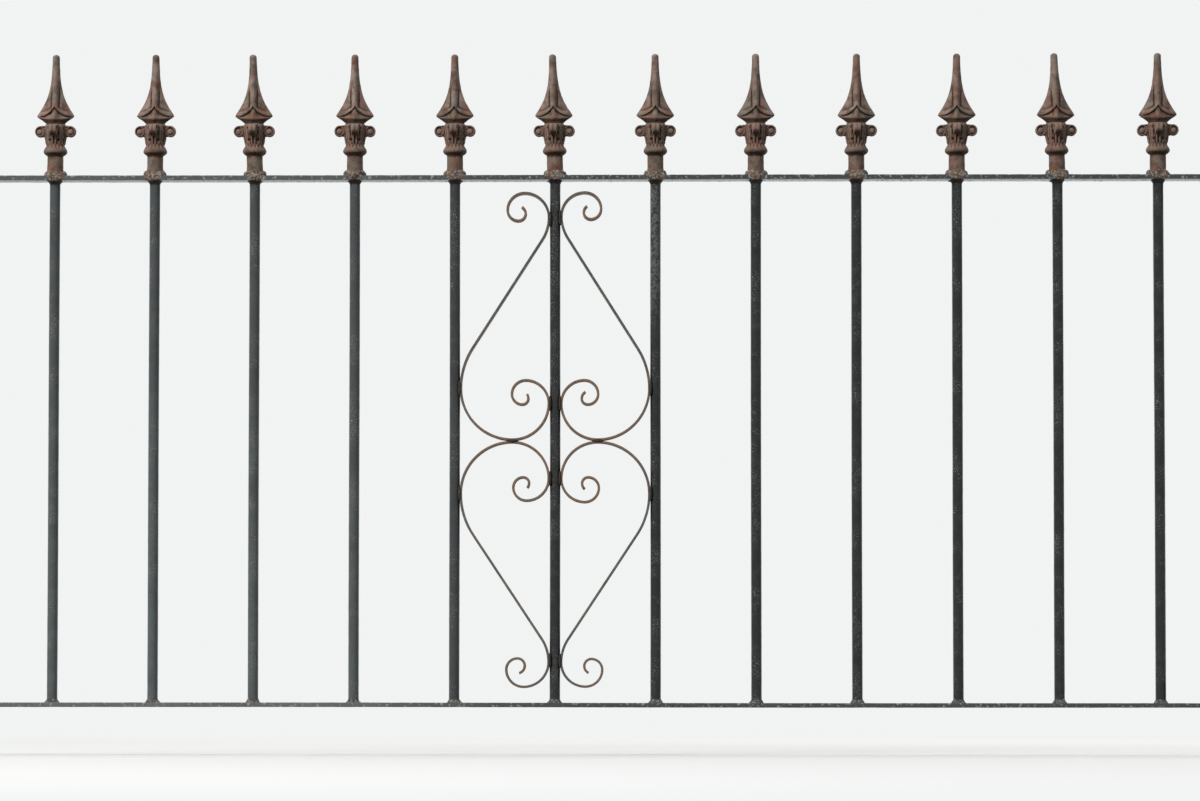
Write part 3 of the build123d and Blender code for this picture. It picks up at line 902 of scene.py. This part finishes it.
def mark_value(tree, label):
    """A mark of the mesh, crevice or crown; 0 where a mesh has none."""
    return put(tree, "ShaderNodeAttribute", attribute_name=label).outputs["Fac"]


def patch_mask(tree, where, per_metre, seed, cover, softness=0.12):
    """The patches group placed with its own values."""
    numbers = (per_metre, seed, cover, softness)
    return put(tree, "ShaderNodeGroup", where, *numbers, node_tree=patches).outputs["Mask"]


def skin_normal(tree, where, per_metre, depth, lumps):
    """The pitted skin placed with its own values; depth is in metres."""
    node = put(tree, "ShaderNodeGroup", where, per_metre, depth, lumps, node_tree=skin)
    return node.outputs["Normal"], node.outputs["Pits"]


def finish_shader(tree, shader, colour, normal, roughness, specular):
    """Joins colour, bumps and roughness to the shader and sets how strongly it reflects."""
    for label, socket in (("Base Color", colour), ("Normal", normal), ("Roughness", roughness)):
        tree.links.new(socket, shader.inputs[label])
    shader.inputs["Specular IOR Level"].default_value = specular


print("ready to place:", patches.name, "and", skin.name)


# %% [markdown]
# ## Old black paint
# The paint is a brushed gloss. Its gloss shows best under the top rail, where the sheen of the pale
# surroundings is seen at a flat angle, so the roughness is low and the colour very dark. Towards the
# left end the paint turns paler and greyer, and lower down it is paler too, which is painted light from
# the floor below. It carries pale scuffs and lime specks, more and larger ones on the rails. The thin
# strips have lost the most: they are grey all over and let a pale rust through. The colour is built up
# in that order, darkest first, and one function makes all three.

# %% Paint for bars, rails, strips and plates


def paint_material(name, scuff_cover, rust_cover, rust_colour, chalk_colour, chalk_right, gloss,
                   specks_per_metre=800.0, specular=0.25):
    """Black, then a pale grey in clouds, stronger towards the left end, and stronger lower down as painted
    light from the floor below; then grey film, pale scuffs and flakes, and rust where the crevice mark is.
    chalk_right is the pale grey's share at the right end, and gloss is the roughness of clean paint."""
    material, tree, shader, where = new_material(name)
    place = put(tree, "ShaderNodeSeparateXYZ", where).outputs
    pale_clouds_and_light_below = ramp(tree, patch_mask(tree, where, 22.0, 1.0, 0.6, 0.3), 0.0, 1.0, 0.6, 1.0)
    # paler lower down: painted light from the floor below
    pale_clouds_and_light_below = times(tree, pale_clouds_and_light_below, ramp(tree, place["Z"], 0.0, 0.6, 1.06, 0.64))
    pale_tone_and_light_below = times(tree, ramp(tree, place["X"], 0.47, 0.82, 1.0, chalk_right), pale_clouds_and_light_below)
    colour = tint(tree, pale_tone_and_light_below, (0.0160, 0.0168, 0.0178), chalk_colour)
    film = patch_mask(tree, where, 95.0, 4.0, 0.38, 0.16)
    colour = tint(tree, film, colour, (0.062, 0.064, 0.062), 0.3)
    specks = patch_mask(tree, where, specks_per_metre, 2.0, 0.30, 0.05)
    scuffs = times(tree, specks, patch_mask(tree, where, 34.0, 3.0, scuff_cover, 0.1))
    flakes = times(tree, mark_value(tree, "crown"), patch_mask(tree, where, 300.0, 7.0, 0.52, 0.1))
    scuffs = calc(tree, "MAXIMUM", scuffs, times(tree, flakes, 0.38))
    colour = tint(tree, scuffs, colour, (0.42, 0.42, 0.39), 0.7)
    rust_patch = patch_mask(tree, where, 190.0, 5.0, rust_cover, 0.14)
    rust = times(tree, ramp(tree, mark_value(tree, "crevice"), 0.15, 0.9), rust_patch)
    colour = tint(tree, rust, colour, rust_colour)
    dull = calc(tree, "MAXIMUM", times(tree, pale_tone_and_light_below, 0.45), calc(tree, "MAXIMUM", rust, scuffs))
    normal, _ = skin_normal(tree, where, 380.0, 0.0005 * gloss, 0.9)
    finish_shader(tree, shader, colour, normal, ramp(tree, dull, 0.0, 1.0, gloss, 0.6), specular)
    return material


RUST, THIN_RUST = (0.105, 0.052, 0.032), (0.250, 0.158, 0.106)
paint = paint_material("old_black_paint", 0.40, 0.62, RUST, (0.106, 0.121, 0.122), 0.05, 0.2)
rail_paint = paint_material(
    "scuffed_black_paint", 0.84, 0.3, RUST, (0.138, 0.150, 0.143), 0.28, 0.09,
    specks_per_metre=230.0, specular=0.5)
strip_paint = paint_material("worn_black_paint", 0.55, 0.7, THIN_RUST, (0.185, 0.170, 0.150), 0.8, 0.3)
print("paint nodes:", len(paint.node_tree.nodes))

# %% [markdown]
# ## Browned casting
# The spear heads have lost most of their paint. Grey-brown iron alternates with redder rust, and dark
# purple-brown remnants of paint lie between them. Orange shows where water stands, the leaves are
# redder than the blade, the ridges are paler, and a little grey-green dulls some sides. Hollows, and
# the marked places under the lips, the collar and the rolls, are painted near-black as shade. Hollows
# and ridges come from the two marks that each grid worked out from its own relief, so the colour
# always follows the shape.

# %% Casting
iron, tree, shader, where = new_material("browned_casting")
mark, ridge = mark_value(tree, "crevice"), mark_value(tree, "crown")
up = put(tree, "ShaderNodeSeparateXYZ", where).outputs["Z"]
# heights in metres: the leaves lie between the collar and the spear, and the blade is above 0.71
leaves = times(tree, ramp(tree, up, 0.660, 0.672), ramp(tree, up, 0.692, 0.701, 1.0, 0.0))
red_patch = patch_mask(tree, where, 60.0, 1.0, 0.5, 0.2)
redness = calc(tree, "MAXIMUM", red_patch, times(tree, leaves, 0.75))
colour = tint(tree, ramp(tree, up, 0.698, 0.712), (0.216, 0.160, 0.128), (0.325, 0.258, 0.220))
colour = tint(tree, redness, colour, (0.200, 0.094, 0.062))
green = patch_mask(tree, where, 42.0, 2.0, 0.38, 0.12)
colour = tint(tree, green, colour, (0.128, 0.124, 0.096), 0.75)
old_paint = patch_mask(tree, where, 105.0, 3.0, 0.38, 0.1)
colour = tint(tree, old_paint, colour, (0.052, 0.032, 0.030), 0.62)
colour = tint(tree, ramp(tree, ridge, 0.05, 0.9), colour, (0.275, 0.216, 0.184), 0.5)
wet = times(tree, ramp(tree, mark, 0.05, 0.4), patch_mask(tree, where, 70.0, 4.0, 0.46, 0.14))
colour = tint(tree, wet, colour, (0.180, 0.070, 0.028), 0.7)
# painted shade: hollows, and the marked places under the lips, collar and rolls, turn near-black
colour = tint(tree, ramp(tree, mark, 0.1, 0.85), colour, (0.021, 0.0092, 0.0038), 0.9)
speck = patch_mask(tree, where, 1000.0, 6.0, 0.32, 0.06)
colour = tint(tree, speck, colour, (0.32, 0.28, 0.24), 0.22)
normal, pits = skin_normal(tree, where, 480.0, 0.00012, 0.9)
finish_shader(tree, shader, colour, normal, ramp(tree, pits, 0, 1, 0.75, 0.52), 0.18)
print("casting nodes:", len(tree.nodes))

# %% [markdown]
# ## Weld metal
# The welds were painted too, but lime and chalk cling to their lumps. Brown and dark patches lie under
# grey-white specks. Brown and chalky suits the sockets, grey the bar feet, and the rest keep more of
# their paint, so one function makes all three from a share of pale cover and a colour.

# %% Welds: chalky at the sockets, grey at the bar feet, dark elsewhere


def weld_material(name, chalkiness, brown):
    """Dark paint under brown patches and pale specks, and painted shade where the crevice mark is;
    chalkiness is the share of pale cover.
    """
    material, tree, shader, where = new_material(name)
    colour = tint(tree, patch_mask(tree, where, 130.0, 1.0, 0.6, 0.15), (0.034, 0.029, 0.026), brown)
    pale = patch_mask(tree, where, 360.0, 2.0, chalkiness, 0.08)
    colour = tint(tree, pale, colour, (0.37, 0.34, 0.30), 0.8)
    # painted shade: near-black where the crevice mark is, which only the funnels under the top rail have
    hollow = ramp(tree, mark_value(tree, "crevice"), 0.1, 0.8)
    colour = tint(tree, hollow, colour, (0.016, 0.013, 0.012), 0.9)
    normal, pits = skin_normal(tree, where, 420.0, 0.00030, 1.0)
    finish_shader(tree, shader, colour, normal, ramp(tree, pits, 0, 1, 0.72, 0.45), 0.22)
    return material


chalky_weld = weld_material("chalky_weld", 0.40, (0.150, 0.094, 0.064))
grey_weld = weld_material("grey_weld", 0.36, (0.082, 0.084, 0.080))
dark_weld = weld_material("painted_weld", 0.16, (0.060, 0.042, 0.034))

# %% Give each piece its material
# the first of these words that is found in a piece's name tells its material
FINISHES = {
    "finial_welds": chalky_weld,
    "foot_welds": grey_weld,
    "welds": dark_weld,
    "cast": iron,
    "rail": rail_paint,
    "scroll": strip_paint,
    "painted": paint,
}
all_pieces = sum(pieces.values(), [])
for piece in all_pieces:
    piece.data.materials.clear()
    piece.data.materials.append(next(FINISHES[word] for word in FINISHES if word in piece.name))
print("materials on", len(all_pieces), "pieces")

# %% [markdown]
# ## Floor, light and air
# The panel is held at its ends, so it hangs 30 mm above a pale floor, which keeps its shadow. The
# floor fades into the pale background with distance, so no horizon cuts through the bars. Light is
# soft: a broad lamp from the upper left in front, a weaker warm one from behind on the right, and a
# pale sky that is brighter above than at the horizon. Camera and glossy rays see the background at
# its full paleness, which gives the undersides of the rails their sheen. The lamps aren't mirrored,
# because a bright strip down each glossy bar would make it look thinner.

# %% Floor
BACKGROUND = (0.877, 0.899, 0.890)
MIDDLE = MIDDLE_X * 0.001
FLOOR_RADIUS, FLOOR_Z = 4.0, -0.0605
floor_mesh = bpy.data.meshes.new("floor")
around = full_turn(64)
rim = xyz(MIDDLE + FLOOR_RADIUS * np.cos(around), FLOOR_RADIUS * np.sin(around), FLOOR_Z)
floor_mesh.from_pydata(rim.tolist(), [], [list(range(len(rim)))])
floor = into_scene("floor", floor_mesh)
pale, tree, shader, where = new_material("pale_floor")
shader.inputs["Base Color"].default_value = (0.80, 0.80, 0.785, 1)
shader.inputs["Roughness"].default_value = 0.9
centre = put(tree, "ShaderNodeVectorMath", where, (MIDDLE, 0, 0), operation="SUBTRACT").outputs[0]
distance = put(tree, "ShaderNodeVectorMath", centre, operation="LENGTH").outputs["Value"]
away = ramp(tree, distance, 0.9, 2.3)
backdrop = put(tree, "ShaderNodeEmission", (*BACKGROUND, 1), 1.0)
rays = tree.nodes.new("ShaderNodeLightPath").outputs
seen = calc(tree, "MAXIMUM", rays["Is Camera Ray"], rays["Is Glossy Ray"])
dim = put(tree, "ShaderNodeBsdfDiffuse", (0.07, 0.07, 0.07, 1))
near = put(tree, "ShaderNodeMixShader", rays["Is Diffuse Ray"], shader.outputs[0], dim.outputs[0])
fade = times(tree, away, seen)
blend = put(tree, "ShaderNodeMixShader", fade, near.outputs[0], backdrop.outputs[0])
tree.links.new(blend.outputs[0], tree.nodes["Material Output"].inputs["Surface"])
floor_mesh.materials.append(pale)
print("floor at", FLOOR_Z, "m, radius", FLOOR_RADIUS, "m")

# %% Sky and lamps
world = bpy.data.worlds.new("pale_air")
bpy.context.scene.world = world
world.use_nodes = True
tree = world.node_tree
tree.nodes.clear()
rays = tree.nodes.new("ShaderNodeLightPath").outputs
through = calc(tree, "MAXIMUM", rays["Is Glossy Ray"], rays["Is Transmission Ray"])
seen = calc(tree, "MAXIMUM", rays["Is Camera Ray"], through)
direction = tree.nodes.new("ShaderNodeTexCoord").outputs["Generated"]
toward_up = put(tree, "ShaderNodeSeparateXYZ", direction).outputs["Z"]
from_above = ramp(tree, toward_up, -0.1, 0.9, 0.16, 0.76)
sky = put(tree, "ShaderNodeBackground", (0.93, 0.96, 1.0, 1), from_above)
air = put(tree, "ShaderNodeBackground", (*BACKGROUND, 1), 1.0)
mixed = put(tree, "ShaderNodeMixShader", seen, sky.outputs[0], air.outputs[0])
tree.links.new(mixed.outputs[0], put(tree, "ShaderNodeOutputWorld").inputs["Surface"])


def lamp(name, offset, width, watts, colour):
    """A square area lamp at an offset in metres from the panel's middle, turned towards it."""
    data = bpy.data.lights.new(name, "AREA")
    data.size, data.energy, data.color = width, watts, colour
    obj = into_scene(name, data)
    obj.location = Vector((MIDDLE, 0, 0.4)) + Vector(offset)
    obj.rotation_euler = (-Vector(offset)).to_track_quat("-Z", "Y").to_euler()
    obj.visible_camera = False
    obj.visible_glossy = False


lamp("key_lamp", (-3.8, -4.2, 3.3), 2.1, 345.0, (1.0, 0.982, 0.96))
lamp("rear_lamp", (1.9, 3.0, 1.8), 2.0, 55.0, (1.0, 0.95, 0.89))
print("lamps: key and rear")

# %% [markdown]
# ## Camera
# The view is square on from far away with a long lens, from about the height of the bottom rail. A
# small shift keeps most of the tilt out of the picture, so the bars stay upright.

# %% Camera
FOCAL_PIXELS, PICTURE_WIDTH, SENSOR = 3800, 1200, 36.0
TILT, ROLL, SWING = 0.0398, -0.0008, 0.0154
camera_data = bpy.data.cameras.new("camera")
camera_data.sensor_width = SENSOR
camera_data.lens = FOCAL_PIXELS / PICTURE_WIDTH * SENSOR
camera_data.shift_x, camera_data.shift_y = 0.0346, 0.1195
camera_data.clip_start, camera_data.clip_end = 0.1, 60.0
camera = into_scene("camera", camera_data)
camera.location = (0.8541, -4.5284, 0.0117)
camera.rotation_euler = (math.pi / 2 + TILT, ROLL, SWING)
bpy.context.scene.camera = camera
bpy.context.scene.view_settings.view_transform = "Standard"
print("tilt in degrees:", round(math.degrees(TILT), 2))
